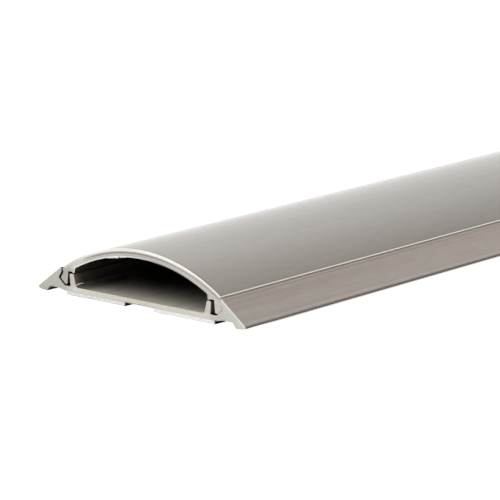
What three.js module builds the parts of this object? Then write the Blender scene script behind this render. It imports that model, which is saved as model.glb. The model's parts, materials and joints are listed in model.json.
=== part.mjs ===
// A floor cable duct, one length of self-adhesive stock. Its flat base has a sloping flank at each
// side and two upright ribs. An arched cover clips down over the ribs: its two legs hook into the
// pockets between the ribs and the flanks. Two strips of foam tape run under the base.
// Sizes are in millimetres. X runs across the duct, Y along it, and Z up from the floor under it.

import * as THREE from 'three';

// Overall sizes
const length = 1000;
const width = 75; // over the toes of the two flanks
const height = 16.5; // from the floor to the crown of the cover

// Plate of the base, on its two strips of foam tape
const tapeThickness = 1.2;
const tapeSpacing = 10.6; // bare plate between the two strips
const tapeMargin = 0.9; // bare plate beside the outer edge of each strip
const plateThickness = 1.4;

// Flanks of the base
const flankRun = 8.5; // across, from the joint with the cover to the edge of the toe
const jointRise = 5; // top edge of the flank above the plate
const toeGap = 0.05; // the toes stay clear of the floor until the foam is pressed down
const toeRise = 0.3; // its underside climbs outwards by this much
const toeEdgeBottom = 0.5; // the upright outer edge of the toe, above the floor
const toeEdgeHeight = 0.67;
const toeBevel = 0.6; // from the underside out to that edge
const toeWidth = 2.6; // across the underside
const toeDraft = 1.3; // lean of the inner side
const toeRounding = 0.5;
const reliefWidth = 3.3; // hollow between the toe and the plate
const reliefDepth = 0.45; // above the underside of the plate
const reliefSlope = 2; // run of the slope from the plate up into the hollow
const reliefRounding = 0.35;

// Pocket for the cover between each flank and its rib
const lipDrop = 1.3; // from the joint down to the lip that holds the hook
const lipOverhang = 0.35; // how far the lip reaches in past the joint
const undercut = 0.8; // how far the pocket reaches out past the joint
const undercutRise = 2; // the widest point of the pocket above the plate
const pocketSlopeRun = 2.35; // from that point in to the flat of the pocket
const pocketFlat = 2.15; // from there to the rib
const pocketRounding = 0.5;

// Ribs of the base
const ribDrop = 1.35; // tip of the rib below the joint
const ribTipThickness = 1.5;
const ribRootThickness = 2.1;
const ribLean = 0.3; // the tip stands this much further out than the root
const ribTipRounding = 0.4;
const ribFillet = 0.9; // between the rib and the plate, on the cable side

// Cover
const coverThickness = 2.35;
const jointPlay = 0.5; // gap at each joint with the cover centred
const shareOfPlayTaken = 0.7; // the cover has slid to the right by this share of that gap
const hookClearance = 0.25; // from the hook to the widest point of the pocket
const footClearance = 0.55; // under the foot of the leg
const legClearance = 0.4; // between the leg and the tip of the rib
const legTaper = 0.4; // the foot stands this much further out than the top of the slot
const slotWidth = 1.6; // between the leg and the seat that rests on the rib
const slotDepth = 0.3;
const seatWidth = 0.6;
const seatDraft = 0.35; // lean of its side towards the cables
const seatClearance = 0.3; // between the seat and the tip of the rib
const legRounding = 0.3;
const footRounding = 0.5;
const edgeRounding = 0.15;

// Fineness of the curves
const archSteps = 44;
const degreesPerStep = 18; // on a rounded corner

// Places that the base and the cover share
const plateTop = tapeThickness + plateThickness;
const jointX = width / 2 - flankRun;
const jointZ = plateTop + jointRise;
const lipX = jointX - lipOverhang;
const lipZ = jointZ - lipDrop;
const undercutX = jointX + undercut;
const undercutZ = plateTop + undercutRise;
const pocketFlatX = undercutX - pocketSlopeRun;
const ribRootX = pocketFlatX - pocketFlat; // the side of the rib in the pocket
const ribTipX = ribRootX + ribLean;
const ribTipZ = jointZ - ribDrop;

// Edges that the plate and the tape share
const toeInnerX = width / 2 - toeBevel - toeWidth;
const reliefOuterX = toeInnerX - toeDraft;
const reliefInnerX = reliefOuterX - reliefWidth;
const plateEdgeX = reliefInnerX - reliefSlope;

// One corner of an outline across the duct.
function corner(x, z, rounding = 0) {
  return { x, z, rounding };
}

// The same corners on the other side of the duct, in the order that continues the outline.
function mirrored(corners) {
  return corners.map(({ x, z, rounding }) => corner(-x, z, rounding)).reverse();
}

// Corners along an arch about a centre on the middle line, both ends included.
function archCorners(radius, centreZ, fromX, toX, endRounding) {
  const fromAngle = Math.asin(fromX / radius);
  const toAngle = Math.asin(toX / radius);
  const corners = [];
  for (let step = 0; step <= archSteps; step += 1) {
    const angle = fromAngle + ((toAngle - fromAngle) * step) / archSteps;
    const isEnd = step === 0 || step === archSteps;
    const x = radius * Math.sin(angle);
    const z = centreZ + radius * Math.cos(angle);
    corners.push(corner(x, z, isEnd ? endRounding : 0));
  }
  return corners;
}

// Turns each rounded corner into an arc that touches both of its edges, within half of the
// shorter one.
function roundedOutline(corners) {
  const points = [];
  corners.forEach(({ x, z, rounding }, index) => {
    const here = new THREE.Vector2(x, z);
    if (rounding === 0) {
      points.push(here);
      return;
    }
    const last = corners.at(index - 1);
    const next = corners[(index + 1) % corners.length];
    const back = new THREE.Vector2(last.x, last.z).sub(here);
    const ahead = new THREE.Vector2(next.x, next.z).sub(here);
    const shorterEdge = Math.min(back.length(), ahead.length());
    back.normalize();
    ahead.normalize();
    const halfAngle = Math.acos(back.dot(ahead)) / 2;
    const reach = Math.min(rounding / Math.tan(halfAngle), shorterEdge / 2);
    const toCentre = reach / Math.cos(halfAngle);
    const middle = back.clone().add(ahead).normalize();
    const centre = here.clone().addScaledVector(middle, toCentre);
    const start = here.clone().addScaledVector(back, reach);
    const turn = Math.sign(back.cross(ahead)) * (2 * halfAngle - Math.PI);
    const steps = Math.ceil(Math.abs(THREE.MathUtils.radToDeg(turn)) / degreesPerStep);
    for (let step = 0; step <= steps; step += 1) {
      points.push(start.clone().rotateAround(centre, (turn * step) / steps));
    }
  });
  return points;
}

// The base, from the edge of its plate out round the flank and back over the pocket and the rib.
function baseOutline() {
  const reliefZ = tapeThickness + reliefDepth;
  const right = [
    corner(plateEdgeX, tapeThickness, reliefRounding),
    corner(reliefInnerX, reliefZ, reliefRounding),
    corner(reliefOuterX, reliefZ, reliefRounding),
    corner(toeInnerX, toeGap, edgeRounding),
    corner(width / 2 - toeBevel, toeGap + toeRise, toeRounding),
    corner(width / 2, toeEdgeBottom, edgeRounding),
    corner(width / 2, toeEdgeBottom + toeEdgeHeight, edgeRounding),
    corner(jointX, jointZ, edgeRounding),
    corner(lipX, lipZ, pocketRounding),
    corner(undercutX, undercutZ, pocketRounding),
    corner(pocketFlatX, plateTop, pocketRounding),
    corner(ribRootX, plateTop, edgeRounding),
    corner(ribTipX, ribTipZ, ribTipRounding),
    corner(ribTipX - ribTipThickness, ribTipZ, ribTipRounding),
    corner(ribRootX - ribRootThickness, plateTop, ribFillet),
  ];
  return roundedOutline([...right, ...mirrored(right)]);
}

// The cover, over its outer arch, down and up its right leg, and back under its inner arch.
function coverOutline() {
  const rise = height - jointZ;
  const outerRadius = (jointX ** 2 + rise ** 2) / (2 * rise);
  const innerRadius = outerRadius - coverThickness;
  const centreZ = height - outerRadius;
  const shift = jointPlay * shareOfPlayTaken;
  const edgeX = jointX - jointPlay;
  const hookX = undercutX - shift - hookClearance;
  const footZ = plateTop + footClearance;
  const footOuterX = hookX - ((undercutZ - footZ) * pocketSlopeRun) / undercutRise;
  const slotOuterX = ribTipX + shift + legClearance;
  const slotInnerX = slotOuterX - slotWidth;
  const seatX = slotInnerX - seatWidth;
  const seatZ = ribTipZ + seatClearance;
  const springX = seatX - seatDraft;
  const right = [
    corner(lipX - jointPlay, lipZ, pocketRounding),
    corner(hookX, undercutZ, pocketRounding),
    corner(footOuterX, footZ, footRounding),
    corner(slotOuterX + legTaper, footZ, footRounding),
    corner(slotOuterX, seatZ + slotDepth, legRounding),
    corner(slotInnerX, seatZ + slotDepth, edgeRounding),
    corner(slotInnerX, seatZ, edgeRounding),
    corner(seatX, seatZ, edgeRounding),
  ];
  const outline = roundedOutline([
    ...archCorners(outerRadius, centreZ, -edgeX, edgeX, edgeRounding),
    ...right,
    ...archCorners(innerRadius, centreZ, springX, -springX, legRounding),
    ...mirrored(right),
  ]);
  return outline.map((point) => point.setX(point.x + shift));
}

// A strip of tape under the plate. Side is -1 for the left one and 1 for the right one.
function tapeOutline(side) {
  const innerX = (side * tapeSpacing) / 2;
  const outerX = side * (plateEdgeX - tapeMargin);
  return [
    new THREE.Vector2(innerX, 0),
    new THREE.Vector2(outerX, 0),
    new THREE.Vector2(outerX, tapeThickness),
    new THREE.Vector2(innerX, tapeThickness),
  ];
}

// Runs an outline along the duct from its front end to its back end.
function extrusion(name, outline, material) {
  const shape = new THREE.Shape(outline);
  const geometry = new THREE.ExtrudeGeometry(shape, { depth: length, bevelEnabled: false });
  geometry.rotateX(Math.PI / 2);
  geometry.translate(0, length / 2, 0);
  const mesh = new THREE.Mesh(geometry, material);
  mesh.name = name;
  return mesh;
}

const basePlastic = new THREE.MeshStandardMaterial({ color: 0xa69f99, roughness: 0.5 });
const coverPlastic = new THREE.MeshStandardMaterial({ color: 0xb0aca6, roughness: 0.4 });
const foam = new THREE.MeshStandardMaterial({ color: 0xe6e9e5, roughness: 0.9 });

const duct = new THREE.Group();
duct.add(extrusion('duct_base', baseOutline(), basePlastic));
duct.add(extrusion('duct_cover', coverOutline(), coverPlastic));
duct.add(extrusion('foam_tape_left', tapeOutline(-1), foam));
duct.add(extrusion('foam_tape_right', tapeOutline(1), foam));

export default duct;
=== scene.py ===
import json
import math
import random

import bpy
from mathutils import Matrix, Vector, noise

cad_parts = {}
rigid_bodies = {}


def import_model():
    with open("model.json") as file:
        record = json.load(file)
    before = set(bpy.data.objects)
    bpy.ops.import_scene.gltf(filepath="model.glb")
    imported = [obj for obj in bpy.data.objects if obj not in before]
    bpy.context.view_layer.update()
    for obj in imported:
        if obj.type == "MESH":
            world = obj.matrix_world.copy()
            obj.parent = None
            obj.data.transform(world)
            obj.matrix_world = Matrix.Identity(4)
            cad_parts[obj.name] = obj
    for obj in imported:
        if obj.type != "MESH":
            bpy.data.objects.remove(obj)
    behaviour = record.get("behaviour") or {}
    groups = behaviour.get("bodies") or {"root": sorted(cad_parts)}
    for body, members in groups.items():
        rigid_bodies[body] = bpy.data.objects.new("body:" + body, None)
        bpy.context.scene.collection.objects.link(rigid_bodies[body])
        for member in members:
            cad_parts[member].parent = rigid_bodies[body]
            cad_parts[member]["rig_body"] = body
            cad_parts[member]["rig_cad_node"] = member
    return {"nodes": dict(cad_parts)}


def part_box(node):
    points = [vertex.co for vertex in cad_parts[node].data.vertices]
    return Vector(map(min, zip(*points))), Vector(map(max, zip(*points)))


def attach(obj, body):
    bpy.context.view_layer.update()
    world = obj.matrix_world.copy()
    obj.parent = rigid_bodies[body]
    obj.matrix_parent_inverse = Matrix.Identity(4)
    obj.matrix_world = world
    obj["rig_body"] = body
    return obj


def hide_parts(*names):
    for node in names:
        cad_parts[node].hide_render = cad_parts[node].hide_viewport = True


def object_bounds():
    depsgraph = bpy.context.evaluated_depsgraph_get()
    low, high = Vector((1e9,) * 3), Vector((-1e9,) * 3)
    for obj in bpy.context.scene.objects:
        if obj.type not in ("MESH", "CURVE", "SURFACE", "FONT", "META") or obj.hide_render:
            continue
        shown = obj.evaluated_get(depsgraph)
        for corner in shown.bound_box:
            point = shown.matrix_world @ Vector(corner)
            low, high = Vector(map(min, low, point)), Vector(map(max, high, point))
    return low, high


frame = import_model()
cad_low, cad_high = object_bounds()
front_y = cad_low.y
back_y = cad_high.y


# The base is one length of extruded rigid PVC: a thin plate with a rib and a sloping flank at each
# side. It leaves the die with fine lines along it, its channel is paler than its flanks, and its
# two ends are sawn off square.

MM = 0.001
plate_bottom = 1.2 * MM
plate_top = 2.6 * MM
joint_x = 29.0 * MM
joint_height = plate_top + 5.0 * MM
saw_bevel = 0.09 * MM
tolerance = 0.01 * MM
weld_distance = 0.001 * MM
flat_angle = math.radians(0.3)
smooth_angle = math.radians(24)


def merged_copy(node_name, piece_name):
    """A copy of a CAD node with whole faces, on its own mesh, that stands for the node."""
    bpy.ops.object.select_all(action="DESELECT")
    node = frame["nodes"][node_name]
    piece = node.copy()
    piece.data = node.data.copy()
    piece.name = piece_name
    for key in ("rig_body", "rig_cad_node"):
        del piece[key]
    piece.parent = None
    bpy.context.scene.collection.objects.link(piece)
    bpy.context.view_layer.objects.active = piece
    piece.select_set(True)
    bpy.ops.object.mode_set(mode="EDIT")
    bpy.ops.mesh.select_all(action="SELECT")
    bpy.ops.mesh.remove_doubles(threshold=weld_distance)
    bpy.ops.mesh.dissolve_limited(angle_limit=flat_angle)
    bpy.ops.mesh.select_all(action="DESELECT")
    bpy.ops.object.mode_set(mode="OBJECT")
    return piece


def from_an_end(point):
    """How far a point is from the nearer end of the duct."""
    return min(point.y - front_y, back_y - point.y)


def select_edges(piece, wanted):
    """Goes to edit mode with only the edges selected whose two end points pass the test."""
    bpy.ops.object.mode_set(mode="EDIT")
    bpy.ops.mesh.select_all(action="DESELECT")
    bpy.ops.mesh.select_mode(type="EDGE")
    bpy.ops.object.mode_set(mode="OBJECT")
    points = [vertex.co for vertex in piece.data.vertices]
    for edge in piece.data.edges:
        edge.select = wanted(points[edge.vertices[0]], points[edge.vertices[1]])
    bpy.ops.object.mode_set(mode="EDIT")


def across_an_end(first, second):
    """Whether two points are both on the same end of the duct."""
    both_on_ends = max(from_an_end(first), from_an_end(second)) < tolerance
    return both_on_ends and abs(first.y - second.y) < tolerance


def cut_through(places, normal):
    """Cuts the piece in edit mode along a flat plane at each place, without opening it."""
    for place in places:
        bpy.ops.mesh.select_all(action="SELECT")
        bpy.ops.mesh.bisect(plane_co=place, plane_no=normal)
    bpy.ops.mesh.select_all(action="DESELECT")


def linked(tree, kind, inputs=None, **settings):
    """Adds a node to a tree, sets its properties, and fills or links its inputs."""
    added = tree.nodes.new(kind)
    for name, value in settings.items():
        setattr(added, name, value)
    for name, value in (inputs or {}).items():
        socket = added.inputs[name]
        if isinstance(value, bpy.types.NodeSocket):
            tree.links.new(value, socket)
        else:
            socket.default_value = value
    return added


def maths(tree, operation, *values):
    """The result of a sum on values that change over the surface."""
    return linked(tree, "ShaderNodeMath", dict(enumerate(values)), operation=operation).outputs[0]


def mixed(tree, amount, first, second):
    """The mix of two colours."""
    mix = linked(tree, "ShaderNodeMix", {0: amount, 6: first, 7: second}, data_type="RGBA")
    return mix.outputs[2]


def tinted(tree, colour, tone, share, *masks):
    """A colour with a share of a tone mixed in, where all the masks hold."""
    for mask in masks:
        share = maths(tree, "MULTIPLY", mask, share)
    return mixed(tree, share, colour, tone)


def scaled(tree, colour, amount):
    """A colour made paler or darker."""
    inputs = {0: colour, "Scale": amount}
    return linked(tree, "ShaderNodeVectorMath", inputs, operation="SCALE").outputs[0]


def ramped(tree, value, start, end, smooth=False):
    """A value that runs from 0 at start to 1 at end."""
    ramp = linked(tree, "ShaderNodeMapRange", {"Value": value, "From Min": start, "From Max": end})
    if smooth:
        ramp.interpolation_type = "SMOOTHSTEP"
    return ramp.outputs[0]


full_part_of_band = 0.35


def banded(tree, value, middle, half_width):
    """A value that is 1 along the middle of a band and fades to 0 at its two edges."""
    off_middle = maths(tree, "ABSOLUTE", maths(tree, "SUBTRACT", value, middle))
    return ramped(tree, off_middle, half_width, half_width * full_part_of_band, smooth=True)


def place_on_piece(tree):
    """The coordinates of a point on the piece, all three together."""
    return linked(tree, "ShaderNodeTexCoord").outputs["Object"]


def along_axes(tree):
    """The coordinates of a point on the piece one by one, under the names X, Y and Z."""
    return linked(tree, "ShaderNodeSeparateXYZ", {0: place_on_piece(tree)}).outputs


def from_end_node(tree, y):
    """How far a point of the surface is from the nearer end of the duct."""
    return maths(tree, "SUBTRACT", back_y, maths(tree, "ABSOLUTE", y))


def stretched(tree, stretch):
    """The place on the piece, with what is drawn there made longer along an axis."""
    inputs = {"Vector": place_on_piece(tree), "Scale": stretch}
    return linked(tree, "ShaderNodeMapping", inputs).outputs[0]


def grain(tree, place, per_metre, detail, roughness=0.5):
    """A value that wavers about one half, so many times to the metre."""
    inputs = {"Vector": place, "Scale": per_metre, "Detail": detail, "Roughness": roughness}
    return linked(tree, "ShaderNodeTexNoise", inputs).outputs[0]


def new_group(name, inputs, outputs):
    """A shader node group with its sockets, and the two nodes that hold them."""
    group = bpy.data.node_groups.new(name, "ShaderNodeTree")
    for socket_name, kind, value in inputs:
        socket = group.interface.new_socket(socket_name, in_out="INPUT", socket_type=kind)
        socket.default_value = value
    for socket_name, kind in outputs:
        group.interface.new_socket(socket_name, in_out="OUTPUT", socket_type=kind)
    return group, group.nodes.new("NodeGroupInput"), group.nodes.new("NodeGroupOutput")


def new_material(name):
    """A material, its node tree, and its shader."""
    material = bpy.data.materials.new(name)
    material.use_nodes = True
    tree = material.node_tree
    return material, tree, tree.nodes["Principled BSDF"]


middle_grey = (0.5, 0.5, 0.5, 1)
line_stretch = (1, 0.012, 1)
smudge_stretch = (1, 0.4, 1)


def die_lines_group():
    """Fine lines along an extrusion, with faint smudges: its colour, and the lines' height."""
    group, given, made = new_group(
        "die lines",
        [
            ("Colour", "NodeSocketColor", middle_grey),
            ("Contrast", "NodeSocketFloat", 0.1),
            ("Lines per metre", "NodeSocketFloat", 900.0),
            ("Smudges", "NodeSocketFloat", 0.25),
        ],
        [("Colour", "NodeSocketColor"), ("Height", "NodeSocketFloat")],
    )
    lengthwise = stretched(group, line_stretch)
    lines_per_metre = given.outputs["Lines per metre"]
    fine = grain(group, lengthwise, lines_per_metre, detail=3.0, roughness=0.6)
    broad = grain(group, lengthwise, per_metre=210.0, detail=2.0)
    long_spots = stretched(group, smudge_stretch)
    smudges = grain(group, long_spots, per_metre=450.0, detail=3.0, roughness=0.6)
    both = maths(group, "ADD", fine, broad)
    centred = maths(group, "SUBTRACT", both, 1.0)
    lined = maths(group, "MULTIPLY_ADD", centred, given.outputs["Contrast"], 1.0)
    off_mean = maths(group, "SUBTRACT", smudges, 0.5)
    amount = maths(group, "MULTIPLY_ADD", off_mean, given.outputs["Smudges"], lined)
    shaded = scaled(group, given.outputs["Colour"], amount)
    group.links.new(shaded, made.inputs["Colour"])
    group.links.new(both, made.inputs["Height"])
    return group


dust_pale = (0.60, 0.58, 0.54, 1)


def dust_group():
    """Sparse pale specks over a colour."""
    group, given, made = new_group(
        "dust specks",
        [
            ("Colour", "NodeSocketColor", middle_grey),
            ("Specks per metre", "NodeSocketFloat", 150.0),
            ("Size", "NodeSocketFloat", 0.045),
            ("Strength", "NodeSocketFloat", 0.3),
        ],
        [("Colour", "NodeSocketColor")],
    )
    cells = linked(
        group,
        "ShaderNodeTexVoronoi",
        {"Vector": place_on_piece(group), "Scale": given.outputs["Specks per metre"]},
    )
    near = ramped(group, cells.outputs["Distance"], given.outputs["Size"], 0.0, smooth=True)
    speckled = tinted(group, given.outputs["Colour"], dust_pale, given.outputs["Strength"], near)
    group.links.new(speckled, made.inputs["Colour"])
    return group


def end_arris_group():
    """A mask of the ragged pale edge that a saw leaves on the skin at the ends of the duct."""
    group, given, made = new_group(
        "end arris",
        [("Width", "NodeSocketFloat", 0.15 * MM)],
        [("Mask", "NodeSocketFloat")],
    )
    ragged = grain(group, place_on_piece(group), per_metre=2500.0, detail=2.0)
    reach = maths(group, "MULTIPLY", ragged, given.outputs["Width"])
    doubled = maths(group, "MULTIPLY", reach, 2.0)
    inwards = from_end_node(group, along_axes(group)["Y"])
    at_edge = maths(group, "LESS_THAN", inwards, doubled)
    group.links.new(at_edge, made.inputs["Mask"])
    return group


sawn_grey = (0.52, 0.508, 0.46, 1)


def sawn_group():
    """The mottled, slightly torn surface that a saw leaves across an extrusion."""
    group, given, made = new_group(
        "sawn surface",
        [
            ("Colour", "NodeSocketColor", sawn_grey),
            ("Contrast", "NodeSocketFloat", 0.6),
        ],
        [("Colour", "NodeSocketColor"), ("Height", "NodeSocketFloat")],
    )
    mottle = grain(group, place_on_piece(group), per_metre=1700.0, detail=4.0, roughness=0.7)
    centred = maths(group, "SUBTRACT", mottle, 0.5)
    amount = maths(group, "MULTIPLY_ADD", centred, given.outputs["Contrast"], 1.0)
    shaded = scaled(group, given.outputs["Colour"], amount)
    group.links.new(shaded, made.inputs["Colour"])
    group.links.new(mottle, made.inputs["Height"])
    return group


die_lines = die_lines_group()
dust_specks = dust_group()
end_arris = end_arris_group()
sawn_surface = sawn_group()


def finish_surface(tree, shader, colour, height, strength, depth, roughness):
    """Joins a colour and a bump to the shader of a material."""
    inputs = {"Height": height, "Strength": strength, "Distance": depth}
    bump = linked(tree, "ShaderNodeBump", inputs)
    tree.links.new(colour, shader.inputs["Base Color"])
    tree.links.new(bump.outputs[0], shader.inputs["Normal"])
    shader.inputs["Roughness"].default_value = roughness


# In the channel the walls are dark with painted shade, and brownish near the ends with painted
# light where it comes in. The floor is darker beside the left wall, and beyond a line that slants
# across it further in: painted shade and a painted shadow.

channel_grey = (0.52, 0.485, 0.42, 1)
channel_shade = (0.24, 0.22, 0.185, 1)
channel_shadow = (0.12, 0.11, 0.092, 1)
wall_shade_grey = (0.10, 0.088, 0.075, 1)
wall_lit_brown = (0.30, 0.23, 0.17, 1)
lit_wall_depth = 3.2 * MM
wall_foot = (plate_top + 0.9 * MM, plate_top + 0.3 * MM)
left_shade_edge = (-21 * MM, -14.5 * MM)
shade_slant = 0.84
shadow_edge = (-8 * MM, 6 * MM)
shadow_start = (3 * MM, 22 * MM)


def channel_tone(tree, at, inwards):
    """The colour of the plate and the ribs where they face the cables, with painted shade and
    light.
    """
    # The walls: painted shade, with painted light near the open ends.
    near_end = ramped(tree, inwards, lit_wall_depth, 0)
    wall = mixed(tree, near_end, wall_shade_grey, wall_lit_brown)
    # The floor: painted shade beside the left wall, and a painted shadow beyond a slanting line.
    off_left_wall = ramped(tree, at["X"], *left_shade_edge, smooth=True)
    floor_tone = mixed(tree, off_left_wall, channel_shade, channel_grey)
    slanted = maths(tree, "MULTIPLY_ADD", inwards, shade_slant, at["X"])
    beyond_slant = ramped(tree, slanted, *shadow_edge, smooth=True)
    off_end = ramped(tree, inwards, *shadow_start)
    floor_tone = tinted(tree, floor_tone, channel_shadow, beyond_slant, off_end)
    on_floor = ramped(tree, at["Z"], *wall_foot, smooth=True)
    return mixed(tree, on_floor, wall, floor_tone)


# The flanks are paler towards the foot and further in, which is painted light. The groove at the
# joint is dark with painted shade, with thin lines beside it, the pale one a painted highlight,
# and a pale line runs above the foot. The toe is brown with painted shade, darkest underneath.

flank_slope = 0.757
flank_foot = 1.17 * MM
toe_edge_bottom = 0.5 * MM
flank_top_grey = (0.250, 0.213, 0.178, 1)
flank_low_grey = (0.318, 0.282, 0.250, 1)
flank_far_light = (0.400, 0.352, 0.310, 1)
flank_far_light_share = 0.15
flank_far_light_span = (40 * MM, 130 * MM)
highlight_line_tone = (0.330, 0.290, 0.250, 1)
highlight_line_share = 0.7
highlight_line = (0.46 * MM, 0.22 * MM)
dark_line_tone = (0.165, 0.138, 0.115, 1)
dark_line_share = 0.5
dark_line = (0.8 * MM, 0.24 * MM)
foot_line_tone = (0.375, 0.330, 0.290, 1)
foot_line_share = 0.8
foot_line = (7.9 * MM, 0.5 * MM)
joint_shade_tone = (0.092, 0.05, 0.026, 1)
joint_shade_share = 0.8
joint_shade_edge = (0.3 * MM, 0.16 * MM)
toe_shade_brown = (0.16, 0.125, 0.10, 1)
toe_shadow = (0.05, 0.038, 0.03, 1)
toe_top = (flank_foot + 0.12 * MM, flank_foot - 0.05 * MM)
toe_underside = (toe_edge_bottom + 0.12 * MM, toe_edge_bottom - 0.05 * MM)


def under_flank_node(tree, sideways, z):
    """How far a point is below the slope of the flank."""
    line_at_middle = joint_height + joint_x * flank_slope
    flank_line = maths(tree, "MULTIPLY_ADD", sideways, -flank_slope, line_at_middle)
    return maths(tree, "SUBTRACT", flank_line, z)


def flank_tone(tree, at, sideways, inwards):
    """The colour of a flank, from its joint with the cover down to the toe, with painted light,
    shade and a highlight.
    """
    # Paler towards the foot and further in: painted light.
    lowered = ramped(tree, at["Z"], joint_height, flank_foot)
    flank = mixed(tree, lowered, flank_top_grey, flank_low_grey)
    far_in = ramped(tree, inwards, *flank_far_light_span)
    flank = tinted(tree, flank, flank_far_light, flank_far_light_share, far_in)
    off_joint = maths(tree, "SUBTRACT", sideways, joint_x)
    # A painted highlight along the pale line below the joint.
    on_highlight_line = banded(tree, off_joint, *highlight_line)
    flank = tinted(tree, flank, highlight_line_tone, highlight_line_share, on_highlight_line)
    on_dark_line = banded(tree, off_joint, *dark_line)
    flank = tinted(tree, flank, dark_line_tone, dark_line_share, on_dark_line)
    on_foot_line = banded(tree, off_joint, *foot_line)
    flank = tinted(tree, flank, foot_line_tone, foot_line_share, on_foot_line)
    # Painted shade in the groove at the joint.
    in_joint_shade = ramped(tree, off_joint, *joint_shade_edge)
    flank = tinted(tree, flank, joint_shade_tone, joint_shade_share, in_joint_shade)
    # Painted shade on the toe, darkest underneath.
    at_toe = ramped(tree, at["Z"], *toe_top)
    flank = mixed(tree, at_toe, flank, toe_shade_brown)
    under_toe = ramped(tree, at["Z"], *toe_underside)
    return mixed(tree, under_toe, flank, toe_shadow)


# The pockets that hold the legs of the cover are dark with painted shade, with lips made browner
# by painted light where it reaches in, and a brown right rib. The closed gap beside the right leg
# is pale with painted light that fills its shade.

pocket_shade_brown = (0.03, 0.024, 0.019, 1)
lip_lit_brown = (0.40, 0.32, 0.25, 1)
lip_fade = (joint_height - 1.5 * MM, joint_height - 0.5 * MM)
rib_brown = (0.17, 0.115, 0.08, 1)
right_rib = (24.6 * MM, 2.0 * MM)
rib_bottom = plate_top + 0.3 * MM
closed_gap_light = (0.86, 0.84, 0.80, 1)
closed_gap_x = 27.6 * MM


def pocket_tone(tree, at):
    """The colour inside a pocket, with painted shade and light."""
    # Painted shade deep in the pocket, painted light up at the lip.
    up_to_lip = ramped(tree, at["Z"], *lip_fade)
    pocket = mixed(tree, up_to_lip, pocket_shade_brown, lip_lit_brown)
    on_right_rib = banded(tree, at["X"], *right_rib)
    above_plate = maths(tree, "GREATER_THAN", at["Z"], rib_bottom)
    pocket = tinted(tree, pocket, rib_brown, on_right_rib, above_plate)
    # Painted light in the closed gap.
    in_closed_gap = maths(tree, "GREATER_THAN", at["X"], closed_gap_x)
    return mixed(tree, in_closed_gap, pocket, closed_gap_light)


# The skin has these three zones, die lines and dust all over, and a worn edge at each end.

pocket_start = (0.3 * MM, 0.45 * MM)
pocket_reach = joint_x + 2 * MM
channel_start = (25.1 * MM, 24.9 * MM)
whitened = (0.86, 0.84, 0.79, 1)
worn_share = 0.5


def base_plastic():
    """The skin of the base, as it leaves the die, with the painted light and shade of its zones.
    """
    material, tree, shader = new_material("matte grey PVC of the base")
    at = along_axes(tree)
    sideways = maths(tree, "ABSOLUTE", at["X"])
    inwards = from_end_node(tree, at["Y"])
    tone = flank_tone(tree, at, sideways, inwards)
    below_flank = ramped(tree, under_flank_node(tree, sideways, at["Z"]), *pocket_start)
    beside_pocket = maths(tree, "LESS_THAN", sideways, pocket_reach)
    tone = tinted(tree, tone, pocket_tone(tree, at), below_flank, beside_pocket)
    in_channel = ramped(tree, sideways, *channel_start)
    tone = mixed(tree, in_channel, tone, channel_tone(tree, at, inwards))
    lines = linked(
        tree,
        "ShaderNodeGroup",
        {"Colour": tone, "Contrast": 0.3, "Lines per metre": 1300.0},
        node_tree=die_lines,
    )
    dusty = linked(
        tree,
        "ShaderNodeGroup",
        {"Colour": lines.outputs["Colour"], "Strength": 0.5},
        node_tree=dust_specks,
    )
    arris = linked(tree, "ShaderNodeGroup", {"Width": 0.07 * MM}, node_tree=end_arris)
    colour = tinted(tree, dusty.outputs[0], whitened, worn_share, arris.outputs[0])
    height = lines.outputs["Height"]
    finish_surface(tree, shader, colour, height, strength=0.12, depth=0.05 * MM, roughness=0.5)
    shader.inputs["Specular IOR Level"].default_value = 0.3
    return material


# The sawn ends are greyer at the left and paler at the right, which is painted light. They are
# paler on the plate and on the ribs, and at the right toe with more painted light. There is brown
# painted shade under the plate between the two strips of tape.

sawn_pale = (0.57, 0.555, 0.50, 1)
sawn_left_shade = (0.44, 0.425, 0.39, 1)
sawn_left_span = (-14 * MM, -34 * MM)
sawn_right_light = (0.64, 0.625, 0.575, 1)
sawn_right_span = (14 * MM, 34 * MM)
sawn_side_share = 0.5
plate_end_pale = (0.80, 0.745, 0.65, 1)
plate_end_share = 0.75
plate_end_span = (28.0 * MM, 23.0 * MM)
plate_end_top = (3.6 * MM, 2.4 * MM)
rib_end_pale = (0.68, 0.67, 0.61, 1)
rib_end_share = 0.35
rib_end = (24.4 * MM, 2.0 * MM)
rib_end_foot = (2.6 * MM, 4.0 * MM)
toe_end_light = (0.74, 0.715, 0.65, 1)
toe_end_light_share = 0.3
toe_end_span = (33 * MM, 36 * MM)
arris_pale = (0.84, 0.815, 0.75, 1)
arris_share = 0.7
arris_edge = (0.75 * MM, 0.4 * MM)
under_plate_shade = (0.24, 0.13, 0.09, 1)
under_shade_share = 0.8
under_span = (6.2 * MM, 5.0 * MM)
under_edge = (plate_bottom + 0.34 * MM, plate_bottom + 0.1 * MM)


def sawn_tone(tree, x):
    """The colour of a sawn end, with painted light that makes it paler towards the right and
    greyer towards the left.
    """
    at_left = ramped(tree, x, *sawn_left_span)
    tone = tinted(tree, sawn_grey, sawn_left_shade, sawn_side_share, at_left)
    at_right = ramped(tree, x, *sawn_right_span)
    return tinted(tree, tone, sawn_right_light, sawn_side_share, at_right)


def finish_sawn(tree, shader, colour):
    """Gives a colour the mottled surface of a sawn end, and joins both to the shader."""
    sawn = linked(tree, "ShaderNodeGroup", {"Colour": colour}, node_tree=sawn_surface).outputs
    mottled = sawn["Colour"]
    height = sawn["Height"]
    finish_surface(tree, shader, mottled, height, strength=0.5, depth=0.08 * MM, roughness=0.75)


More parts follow.
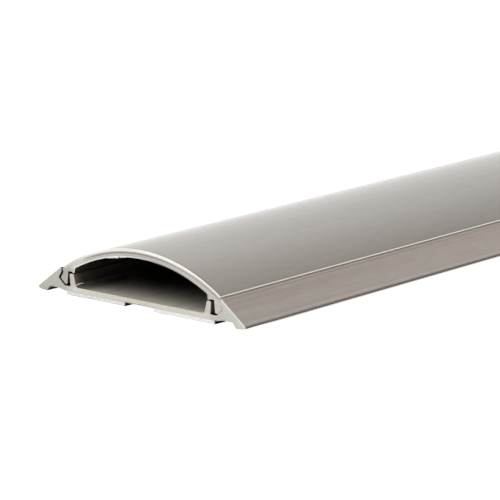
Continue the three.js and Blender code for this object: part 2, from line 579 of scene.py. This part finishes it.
def sawn_base_plastic():
    """The sawn ends of the base, with painted light and painted shade."""
    material, tree, shader = new_material("sawn PVC of the base")
    at = along_axes(tree)
    sideways = maths(tree, "ABSOLUTE", at["X"])
    colour = sawn_tone(tree, at["X"])
    on_plate = ramped(tree, sideways, *plate_end_span, smooth=True)
    low_down = ramped(tree, at["Z"], *plate_end_top, smooth=True)
    colour = tinted(tree, colour, plate_end_pale, plate_end_share, on_plate, low_down)
    on_rib = banded(tree, sideways, *rib_end)
    up_rib = ramped(tree, at["Z"], *rib_end_foot, smooth=True)
    colour = tinted(tree, colour, rib_end_pale, rib_end_share, on_rib, up_rib)
    # Painted light at the right toe.
    at_toe = ramped(tree, at["X"], *toe_end_span, smooth=True)
    colour = tinted(tree, colour, toe_end_light, toe_end_light_share, at_toe)
    under_flank = under_flank_node(tree, sideways, at["Z"])
    at_arris = ramped(tree, under_flank, *arris_edge, smooth=True)
    on_right_flank = maths(tree, "GREATER_THAN", at["X"], joint_x)
    colour = tinted(tree, colour, arris_pale, arris_share, at_arris, on_right_flank)
    # Painted shade under the plate between the tapes.
    between_tapes = ramped(tree, sideways, *under_span, smooth=True)
    at_underside = ramped(tree, at["Z"], *under_edge, smooth=True)
    colour = tinted(tree, colour, under_plate_shade, under_shade_share, between_tapes, at_underside)
    finish_sawn(tree, shader, colour)
    return material


arris_mottle = (0.35, 0.65)


def sawn_arris_plastic():
    """The narrow arris that the saw leaves round the ends of the base."""
    material, tree, shader = new_material("sawn arris of the base")
    mottle = grain(tree, place_on_piece(tree), per_metre=2400.0, detail=3.0)
    colour = mixed(tree, ramped(tree, mottle, *arris_mottle), sawn_pale, plate_end_pale)
    finish_surface(tree, shader, colour, mottle, strength=0.3, depth=0.05 * MM, roughness=0.6)
    return material


# A face is on an end, on a chamfer or on the skin, by how far it faces along the duct.

facing_along = 0.95
facing_slantwise = 0.3
skin_slot = 0
end_slot = 1
chamfer_slot = 2


def set_finishes(piece, skin, sawn, chamfered):
    """Gives a piece its skin, its sawn ends and its chamfered arrises."""
    piece.data.materials.clear()
    for material in (skin, sawn, chamfered):
        piece.data.materials.append(material)
    for face in piece.data.polygons:
        lengthwise = abs(face.normal.y)
        face.use_smooth = lengthwise < facing_along
        if lengthwise > facing_along:
            face.material_index = end_slot
        elif lengthwise > facing_slantwise:
            face.material_index = chamfer_slot
        else:
            face.material_index = skin_slot


base = merged_copy("duct_base", "base_extrusion")
select_edges(base, across_an_end)
bpy.ops.mesh.bevel(offset=saw_bevel, segments=1, clamp_overlap=True)
bpy.ops.mesh.select_all(action="DESELECT")
bpy.ops.object.mode_set(mode="OBJECT")
bpy.ops.object.shade_smooth_by_angle(angle=smooth_angle)
set_finishes(base, base_plastic(), sawn_base_plastic(), sawn_arris_plastic())
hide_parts("duct_base")
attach(base, "root")


# A thin whisker of swarf still hangs on the sawn end, where the left rib meets the plate. Its
# points are given in millimetres: across, inwards from the end, and up.

whisker_points = (
    (-23.45, 0.04, 2.95),
    (-23.0, 0.12, 3.4),
    (-22.1, 0.3, 3.92),
    (-21.4, 0.5, 4.08),
    (-20.9, 0.65, 4.1),
)
whisker_thickness = 0.11 * MM
whisker_taper = (1.0, 1.2, 1.1, 0.8, 0.25)

bpy.ops.object.select_all(action="DESELECT")
bpy.ops.curve.primitive_nurbs_path_add()
whisker = bpy.context.active_object
whisker.name = "swarf_whisker"
path = whisker.data.splines[0]
for point, (x, inwards, z), share in zip(path.points, whisker_points, whisker_taper):
    point.co = (x * MM, front_y + inwards * MM, z * MM, 1)
    point.radius = share
whisker.data.bevel_depth = whisker_thickness
whisker.data.bevel_resolution = 2
whisker.data.use_fill_caps = True
bpy.ops.object.convert(target="MESH")
whisker = bpy.context.active_object
whisker.data.materials.clear()
whisker.data.materials.append(base.data.materials[chamfer_slot])
bpy.ops.object.shade_smooth()
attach(whisker, "root")


# The cover is a second extrusion of the same PVC with a smoother, satin skin. Its two hooked legs
# clip into the base. At each end the outer arris is cut back with a knife, which whitens it, and
# the inner one keeps a torn burr.

arch_wall = 2.35 * MM
cover_edge_reach = 28.5 * MM
spring_reach = 24.2 * MM

cover_low, cover_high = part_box("duct_cover")
cover_middle = (cover_low.x + cover_high.x) / 2
arch_rise = cover_high.z - joint_height
arch_radius = (joint_x**2 + arch_rise**2) / (2 * arch_rise)
arch_centre_z = cover_high.z - arch_radius
inner_radius = arch_radius - arch_wall
edge_height = arch_centre_z + math.sqrt(arch_radius**2 - cover_edge_reach**2)


def from_arch_centre(point):
    """How far a point of the cover is from the centre line of its arch."""
    return math.hypot(point.x - cover_middle, point.z - arch_centre_z)


def arch_coordinates(tree, at):
    """How far a point of the cover is from its middle line, and from the centre of its arch."""
    across = maths(tree, "SUBTRACT", at["X"], cover_middle)
    up = maths(tree, "SUBTRACT", at["Z"], arch_centre_z)
    up_squared = maths(tree, "MULTIPLY", up, up)
    outwards = maths(tree, "SQRT", maths(tree, "MULTIPLY_ADD", across, across, up_squared))
    return maths(tree, "ABSOLUTE", across), outwards


# The skin of the cover is a little darker away from the ends and dark inside, both painted shade.
# The right leg is pale with painted light that fills the closed gap, and a painted highlight runs
# pale along the two edges at the joints.

cover_grey = (0.161, 0.140, 0.114, 1)
cover_far_shade = (0.142, 0.123, 0.100, 1)
cover_far_shade_span = (10 * MM, 130 * MM)
inside_shade_grey = (0.05, 0.042, 0.035, 1)
skin_radius = arch_radius - arch_wall / 2
leg_light_pale = (0.86, 0.84, 0.80, 1)
leg_top = joint_height - 0.1 * MM
right_leg_x = 27.6 * MM
joint_highlight = (0.86, 0.80, 0.70, 1)
joint_highlight_start = (cover_edge_reach - 0.16 * MM, cover_edge_reach - 0.1 * MM)
joint_highlight_bottom = (edge_height - 0.3 * MM, edge_height - 0.24 * MM)


def cover_plastic():
    """The skin of the cover, as it leaves the die, with painted shade, light and highlights."""
    material, tree, shader = new_material("satin grey PVC of the cover")
    at = along_axes(tree)
    sideways, outwards = arch_coordinates(tree, at)
    # Painted shade away from the ends.
    far_in = ramped(tree, from_end_node(tree, at["Y"]), *cover_far_shade_span)
    skin = mixed(tree, far_in, cover_grey, cover_far_shade)
    # Painted shade inside, and painted light on the right leg.
    on_right_leg = maths(tree, "GREATER_THAN", at["X"], right_leg_x)
    inside = mixed(tree, on_right_leg, inside_shade_grey, leg_light_pale)
    above_leg = maths(tree, "GREATER_THAN", at["Z"], leg_top)
    in_skin = maths(tree, "GREATER_THAN", outwards, skin_radius)
    tone = tinted(tree, inside, skin, in_skin, above_leg)
    lines = linked(
        tree,
        "ShaderNodeGroup",
        {"Colour": tone, "Contrast": 0.06, "Lines per metre": 600.0},
        node_tree=die_lines,
    )
    dusty = linked(
        tree,
        "ShaderNodeGroup",
        {"Colour": lines.outputs["Colour"], "Strength": 0.4},
        node_tree=dust_specks,
    )
    # A painted highlight along the edges at the joints.
    at_joint = ramped(tree, sideways, *joint_highlight_start)
    above_gap = ramped(tree, at["Z"], *joint_highlight_bottom)
    colour = tinted(tree, dusty.outputs[0], joint_highlight, at_joint, above_gap)
    height = lines.outputs["Height"]
    finish_surface(tree, shader, colour, height, strength=0.05, depth=0.05 * MM, roughness=0.13)
    return material


# On the sawn ends of the cover the crown is greyer, the left root is paler, the right side is
# paler with painted light, and the left leg is darker.

sawn_crown_grey = (0.44, 0.425, 0.395, 1)
crown_share = 0.45
crown_span = (13 * MM, 5 * MM)
sawn_right_light_pale = (0.70, 0.672, 0.61, 1)
right_light_share = 0.1
right_light_span = (6 * MM, 20 * MM)
sawn_root_pale = (0.78, 0.735, 0.68, 1)
left_root_share = 0.45
left_root = (-22.6 * MM, 3.5 * MM)
sawn_leg_grey = (0.40, 0.385, 0.355, 1)
left_leg_share = 0.7
left_leg_span = (-20 * MM, -23 * MM)
left_leg_top = (joint_height + 0.6 * MM, joint_height - 0.6 * MM)


def sawn_arch_tone(tree, at, sideways):
    """The colour of the cover's sawn end from side to side, with painted light towards the right.
    """
    colour = sawn_tone(tree, at["X"])
    at_crown = ramped(tree, sideways, *crown_span, smooth=True)
    colour = tinted(tree, colour, sawn_crown_grey, crown_share, at_crown)
    # Painted light towards the right.
    at_right = ramped(tree, at["X"], *right_light_span, smooth=True)
    colour = tinted(tree, colour, sawn_right_light_pale, right_light_share, at_right)
    at_root = banded(tree, at["X"], *left_root)
    colour = tinted(tree, colour, sawn_root_pale, left_root_share, at_root)
    on_left_leg = ramped(tree, at["X"], *left_leg_span)
    down_leg = ramped(tree, at["Z"], *left_leg_top, smooth=True)
    return tinted(tree, colour, sawn_leg_grey, left_leg_share, on_left_leg, down_leg)


# Along the arch runs a pale band that the knife has scraped, with a thin brown line under it.

scraped_share = 0.9
scraped_edge = (arch_radius - 0.8 * MM, arch_radius - 0.63 * MM)
scraped_left_end = (-24 * MM, -17 * MM)
scraped_right_end = (26 * MM, 12 * MM)
sawn_line_brown = (0.27, 0.22, 0.175, 1)
sawn_line = (arch_radius - 1.08 * MM, 0.33 * MM)
sawn_line_drift = 0.008
sawn_line_left_end = (-21 * MM, -15 * MM)
sawn_line_fade = (12 * MM, 4 * MM)
sawn_line_least = 0.65
sawn_line_gain = 0.2


def scraped_tone(tree, x, outwards, colour):
    """The colour of the sawn end with the scraped band and the brown line."""
    from_left = ramped(tree, x, *scraped_left_end, smooth=True)
    from_right = ramped(tree, x, *scraped_right_end, smooth=True)
    scraped = ramped(tree, outwards, *scraped_edge)
    colour = tinted(tree, colour, whitened, scraped_share, from_left, from_right, scraped)
    off_line = maths(tree, "MULTIPLY_ADD", x, -sawn_line_drift, outwards)
    on_line = banded(tree, off_line, *sawn_line)
    line_start = ramped(tree, x, *sawn_line_left_end, smooth=True)
    off_right = ramped(tree, x, *sawn_line_fade)
    share = maths(tree, "MULTIPLY_ADD", off_right, sawn_line_gain, sawn_line_least)
    return tinted(tree, colour, sawn_line_brown, share, on_line, line_start)


# Under the arch, the inner edge is pale at the left, and dark at the right with painted shade.

over_channel = (spring_reach + 0.4 * MM, spring_reach - 0.4 * MM)
pale_edge = (inner_radius + 0.42 * MM, inner_radius + 0.16 * MM)
pale_edge_fade = (8 * MM, -6 * MM)
pale_edge_least = 0.15
pale_edge_gain = 0.8
inner_edge_shade = (0.06, 0.05, 0.042, 1)
dark_edge = (inner_radius + 0.26 * MM, inner_radius + 0.18 * MM)
dark_edge_span = (-4 * MM, 15 * MM)
dark_edge_share = 0.9


def inner_edge_tone(tree, x, sideways, outwards, colour):
    """The colour of the sawn end with the two parts of its inner edge, the dark one painted shade.
    """
    above_channel = ramped(tree, sideways, *over_channel)
    on_pale_edge = ramped(tree, outwards, *pale_edge, smooth=True)
    off_right = ramped(tree, x, *pale_edge_fade)
    share = maths(tree, "MULTIPLY_ADD", off_right, pale_edge_gain, pale_edge_least)
    colour = tinted(tree, colour, whitened, share, on_pale_edge, above_channel)
    # Painted shade on the inner edge at the right.
    on_dark_edge = ramped(tree, outwards, *dark_edge)
    to_right = ramped(tree, x, *dark_edge_span, smooth=True)
    masks = (to_right, on_dark_edge, above_channel)
    return tinted(tree, colour, inner_edge_shade, dark_edge_share, *masks)


def sawn_cover_plastic():
    """The sawn ends of the cover."""
    material, tree, shader = new_material("sawn PVC of the cover")
    at = along_axes(tree)
    sideways, outwards = arch_coordinates(tree, at)
    colour = sawn_arch_tone(tree, at, sideways)
    colour = scraped_tone(tree, at["X"], outwards, colour)
    colour = inner_edge_tone(tree, at["X"], sideways, outwards, colour)
    finish_sawn(tree, shader, colour)
    return material


# The knife cut is whitened plastic, greyer at the left and palest at the right.

scraped_pale = (0.74, 0.72, 0.66, 1)
knife_mottle = (0.3, 0.6)
knife_left_share = 0.6
knife_left_span = (5 * MM, -5 * MM)
knife_left_grey = (0.49, 0.475, 0.435, 1)
knife_left_end = (-17 * MM, -24 * MM)
knife_right_pale = (0.92, 0.905, 0.85, 1)
knife_right_span = (8 * MM, 22 * MM)


def whitened_plastic():
    """The chamfer that the knife leaves round the outer arris of the cover."""
    material, tree, shader = new_material("knife whitened PVC")
    x = along_axes(tree)["X"]
    mottle = grain(tree, place_on_piece(tree), per_metre=3000.0, detail=3.0)
    colour = mixed(tree, ramped(tree, mottle, *knife_mottle), scraped_pale, whitened)
    to_left = ramped(tree, x, *knife_left_span, smooth=True)
    colour = tinted(tree, colour, sawn_pale, knife_left_share, to_left)
    near_left_joint = ramped(tree, x, *knife_left_end, smooth=True)
    colour = mixed(tree, near_left_joint, colour, knife_left_grey)
    to_right = ramped(tree, x, *knife_right_span, smooth=True)
    colour = mixed(tree, to_right, colour, knife_right_pale)
    finish_surface(tree, shader, colour, mottle, strength=0.25, depth=0.05 * MM, roughness=0.55)
    return material


# The knife is a wide cylinder with chamfered ends, a little to the right of the cover. Only what
# is inside it stays.

end_chamfer = 0.5 * MM
knife_allowance = 0.35 * MM
knife_shift = 0.5 * MM
knife_sides = 360

cover = merged_copy("duct_cover", "arched_cover")

bpy.ops.object.select_all(action="DESELECT")
bpy.ops.mesh.primitive_cylinder_add(
    vertices=knife_sides,
    radius=arch_radius + knife_allowance,
    depth=back_y - front_y,
    location=(cover_middle + knife_shift, 0, arch_centre_z),
    rotation=(math.pi / 2, 0, 0),
)
knife = bpy.context.active_object
bpy.ops.object.transform_apply(location=True, rotation=True, scale=True)
select_edges(knife, across_an_end)
bpy.ops.mesh.bevel(offset=end_chamfer + knife_allowance, segments=1)
bpy.ops.object.mode_set(mode="OBJECT")
bpy.context.view_layer.objects.active = cover
knife_cut = cover.modifiers.new("knife cut", "BOOLEAN")
knife_cut.operation = "INTERSECT"
knife_cut.solver = "EXACT"
knife_cut.object = knife
bpy.ops.object.modifier_apply(modifier=knife_cut.name)
bpy.data.objects.remove(knife)
cover.select_set(True)

# The burr hangs down a little all along the inner arris, and further in flaps where it tore. Each
# flap has its start, its torn end and its depth there. At the front a nick parts two of them. Two
# cuts near each end of the cover keep the burr from reaching further in.

end_ring = 1.2 * MM
burr_thickness = 0.15 * MM
burr_height = 0.05 * MM
burr_cuts = 5
nick_x = -7.2 * MM
nick_half_width = 0.17 * MM
nick_depth = 0.06 * MM
front_flaps = ((-11.5 * MM, nick_x, 0.5 * MM), (-4.6 * MM, nick_x, 0.3 * MM))
back_flaps = ((9.0 * MM, 2.5 * MM, 0.4 * MM),)
flap_start_share = 0.3
flap_evenness = 0.6
burr_radius = inner_radius + arch_wall / 4
burr_facing_along = 0.7

bpy.ops.object.mode_set(mode="EDIT")
for depth in (end_ring, burr_thickness):
    cut_through([(0, front_y + depth, 0), (0, back_y - depth, 0)], (0, 1, 0))


def on_inner_arris(first, second):
    """Whether two points are both on the inner arris of one end, above the channel."""
    return across_an_end(first, second) and all(
        abs(from_arch_centre(point) - inner_radius) < tolerance
        and abs(point.x - cover_middle) < spring_reach
        for point in (first, second)
    )


select_edges(cover, on_inner_arris)
bpy.ops.mesh.subdivide(number_cuts=burr_cuts)
bpy.ops.mesh.select_all(action="DESELECT")
bpy.ops.object.mode_set(mode="OBJECT")

tearing = random.Random(5)


def torn_flap(point, start, end, height):
    """How far a torn flap of burr hangs down, deepest at its end."""
    share = (point.x - start) / (end - start)
    if not 0 <= share <= 1:
        return 0
    grown = flap_start_share + (1 - flap_start_share) * share
    return height * grown * (flap_evenness + (1 - flap_evenness) * tearing.random())


for vertex in cover.data.vertices:
    point = vertex.co
    if not on_inner_arris(point, point):
        continue
    at_front = point.y < 0
    flaps = front_flaps if at_front else back_flaps
    drop = burr_height * tearing.random() ** 2
    for flap in flaps:
        drop += torn_flap(point, *flap)
    if at_front and abs(point.x - nick_x) < nick_half_width:
        drop = -nick_depth
    towards_centre = Vector((cover_middle - point.x, 0, arch_centre_z - point.z)).normalized()
    vertex.co = point + towards_centre * drop

bpy.ops.object.shade_smooth_by_angle(angle=smooth_angle)
set_finishes(cover, cover_plastic(), sawn_cover_plastic(), whitened_plastic())
for face in cover.data.polygons:
    if face.material_index == chamfer_slot and from_arch_centre(face.center) < burr_radius:
        faces_along = abs(face.normal.y) > burr_facing_along
        face.material_index = end_slot if faces_along else skin_slot
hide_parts("duct_cover")
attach(cover, "root")


# Two strips of white foam tape stick the base to the floor. The foam is soft, closed-cell and
# grainy where it is cut, and the sticky long sides are dark with painted shade.

foam_rounding = 0.2 * MM
foam_smooth_angle = math.radians(40)
ragged_depth = 1.2 * MM
ragged_step = 0.4 * MM
ragged_cuts = 3
ragged_reach = 0.16 * MM
ragged_size = 0.7 * MM
foam_white = (0.98, 0.985, 0.965, 1)
foam_shade = (0.84, 0.86, 0.82, 1)
foam_greyed = (0.88, 0.895, 0.855, 1)
foam_pitted = (0.64, 0.675, 0.625, 1)
foam_pits = (0.34, 0.54)
foam_right_span = (-16 * MM, 6 * MM)
foam_side_shade = (0.045, 0.038, 0.03, 1)
side_depth = 0.12 * MM
clean_end = (0.15 * MM, 0.4 * MM)
tape_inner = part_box("foam_tape_right")[0].x
tape_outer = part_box("foam_tape_right")[1].x


def foam_material():
    """White foam with pits, greyer at the left, and with painted shade on its long sides."""
    material, tree, shader = new_material("white foam")
    at = along_axes(tree)
    cells = grain(tree, place_on_piece(tree), per_metre=1700.0, detail=3.0)
    to_right = ramped(tree, at["X"], *foam_right_span)
    pale = mixed(tree, to_right, foam_greyed, foam_white)
    deep = mixed(tree, to_right, foam_pitted, foam_shade)
    colour = mixed(tree, ramped(tree, cells, *foam_pits), deep, pale)
    sideways = maths(tree, "ABSOLUTE", at["X"])
    inner_side = ramped(tree, sideways, tape_inner + side_depth, tape_inner + side_depth / 2)
    outer_side = ramped(tree, sideways, tape_outer - side_depth, tape_outer - side_depth / 2)
    on_a_side = maths(tree, "MAXIMUM", inner_side, outer_side)
    behind_end = ramped(tree, from_end_node(tree, at["Y"]), *clean_end)
    # Painted shade on the long sides.
    colour = tinted(tree, colour, foam_side_shade, on_a_side, behind_end)
    finish_surface(tree, shader, colour, cells, strength=0.8, depth=0.2 * MM, roughness=0.9)
    return material


foam = foam_material()
for side in ("left", "right"):
    strip = merged_copy("foam_tape_" + side, "tape_strip_" + side)
    strip_low, strip_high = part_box("foam_tape_" + side)
    select_edges(strip, lambda first, second: True)
    bpy.ops.mesh.bevel(offset=foam_rounding, segments=3)
    depths = [ragged_step * step for step in range(1, ragged_cuts + 1)]
    cut_through([(0, front_y + depth, 0) for depth in depths], (0, 1, 0))
    cut_through([(0, back_y - depth, 0) for depth in depths], (0, 1, 0))
    columns = int((strip_high.x - strip_low.x) / ragged_step)
    places = [(strip_low.x + ragged_step * column, 0, 0) for column in range(1, columns)]
    cut_through(places, (1, 0, 0))
    cut_through([(0, 0, strip_high.z / 3), (0, 0, strip_high.z * 2 / 3)], (0, 0, 1))
    bpy.ops.object.mode_set(mode="OBJECT")
    for vertex in strip.data.vertices:
        point = vertex.co
        share = 1 - from_an_end(point) / ragged_depth
        if share > 0:
            shift = noise.noise(point / ragged_size) * ragged_reach * share
            point.y += shift
    strip.data.materials.clear()
    strip.data.materials.append(foam)
    bpy.ops.object.shade_smooth_by_angle(angle=foam_smooth_angle)
    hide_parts("foam_tape_" + side)
    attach(strip, "root")


# The studio is a white floor in a white sweep that stands to the left and behind, with a soft
# light from above. The room at the right and in front is dim.

floor_size = 60.0
floor_white = (0.9, 0.9, 0.9, 1)
duct_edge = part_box("duct_base")[1].x
glow_end = (7 * MM, 14 * MM)
glow_side = 3 * MM
dim_room = 0.06
sweep_side = (-0.819, 0.574, 0)
sweep_edge = (-0.5, 0.1)
sweep_low_light = 1.23
sweep_high_light = 1.72
sweep_rise = (math.sin(math.radians(7.5)), math.sin(math.radians(33)))
overhead_side = (-1, 0, 0)
overhead_edge = (-0.7, 0.7)
overhead_dim = 1.08
overhead_bright = 1.95
overhead_rise = (math.sin(math.radians(22)), math.sin(math.radians(38)))

bpy.ops.object.select_all(action="DESELECT")
bpy.ops.mesh.primitive_plane_add(size=floor_size, location=(0, 0, 0))
floor = bpy.context.active_object
floor.name = "studio_floor"
white_floor, tree, shader = new_material("white floor")
shader.inputs["Base Color"].default_value = floor_white
shader.inputs["Roughness"].default_value = 0.9
at = along_axes(tree)
deep = ramped(tree, from_end_node(tree, at["Y"]), *glow_end, smooth=True)
covered = ramped(tree, maths(tree, "ABSOLUTE", at["X"]), duct_edge, duct_edge - glow_side)
lit_share = maths(tree, "SUBTRACT", 1.0, maths(tree, "MULTIPLY", deep, covered))
glow = linked(tree, "ShaderNodeEmission", {"Strength": lit_share})
seen = linked(tree, "ShaderNodeLightPath")
lit = linked(tree, "ShaderNodeAddShader", {0: shader.outputs[0], 1: glow.outputs[0]})
shown = linked(
    tree,
    "ShaderNodeMixShader",
    {0: seen.outputs["Is Camera Ray"], 1: shader.outputs[0], 2: lit.outputs[0]},
)
tree.links.new(shown.outputs[0], tree.nodes["Material Output"].inputs["Surface"])
floor.data.materials.append(white_floor)

studio = bpy.data.worlds.new("white sweep and overhead light")
studio.use_nodes = True
tree = studio.node_tree
direction = linked(tree, "ShaderNodeTexCoord").outputs["Generated"]
flat = linked(tree, "ShaderNodeVectorMath", {0: direction, 1: (1, 1, 0)}, operation="MULTIPLY")
level = linked(tree, "ShaderNodeVectorMath", {0: flat.outputs[0]}, operation="NORMALIZE")


def light_towards(side, edge, dim, bright):
    """The strength of light that grows over an edge from dim to bright, towards a side."""
    inputs = {0: level.outputs[0], 1: side}
    facing = linked(tree, "ShaderNodeVectorMath", inputs, operation="DOT_PRODUCT")
    share = ramped(tree, facing.outputs["Value"], *edge, smooth=True)
    return maths(tree, "MULTIPLY_ADD", share, maths(tree, "SUBTRACT", bright, dim), dim)


height = linked(tree, "ShaderNodeSeparateXYZ", {0: direction}).outputs[2]
up_sweep = ramped(tree, height, *sweep_rise)
added_light = sweep_high_light - sweep_low_light
sweep_light = maths(tree, "MULTIPLY_ADD", up_sweep, added_light, sweep_low_light)
low_light = light_towards(sweep_side, sweep_edge, dim_room, sweep_light)
high_light = light_towards(overhead_side, overhead_edge, overhead_dim, overhead_bright)
raised = ramped(tree, height, *overhead_rise, smooth=True)
more_light = maths(tree, "SUBTRACT", high_light, low_light)
light = maths(tree, "MULTIPLY_ADD", raised, more_light, low_light)
seen = linked(tree, "ShaderNodeLightPath").outputs["Is Camera Ray"]
strength = maths(tree, "MULTIPLY_ADD", seen, maths(tree, "SUBTRACT", 1.0, light), light)
background = tree.nodes["Background"]
background.inputs["Color"].default_value = (1, 1, 1, 1)
tree.links.new(strength, background.inputs["Strength"])
bpy.context.scene.world = studio
bpy.context.scene.view_settings.view_transform = "Standard"


# The camera stands where the photograph was taken from, with a long lens.

camera_azimuth = math.radians(39.95)
camera_elevation = math.radians(12.67)
camera_place = Vector((0.5990, front_y - 0.6684, 0.2182))
camera_lens = 245.7
nearest_seen = 0.05
towards_camera = Vector(
    (
        math.sin(camera_azimuth) * math.cos(camera_elevation),
        -math.cos(camera_azimuth) * math.cos(camera_elevation),
        math.sin(camera_elevation),
    )
)
camera_data = bpy.data.cameras.new("camera")
camera_data.lens = camera_lens
camera_data.clip_start = nearest_seen
camera = bpy.data.objects.new("camera", camera_data)
camera.location = camera_place
camera.rotation_mode = "QUATERNION"
camera.rotation_quaternion = towards_camera.to_track_quat("Z", "Y")
bpy.context.scene.collection.objects.link(camera)
bpy.context.scene.camera = camera
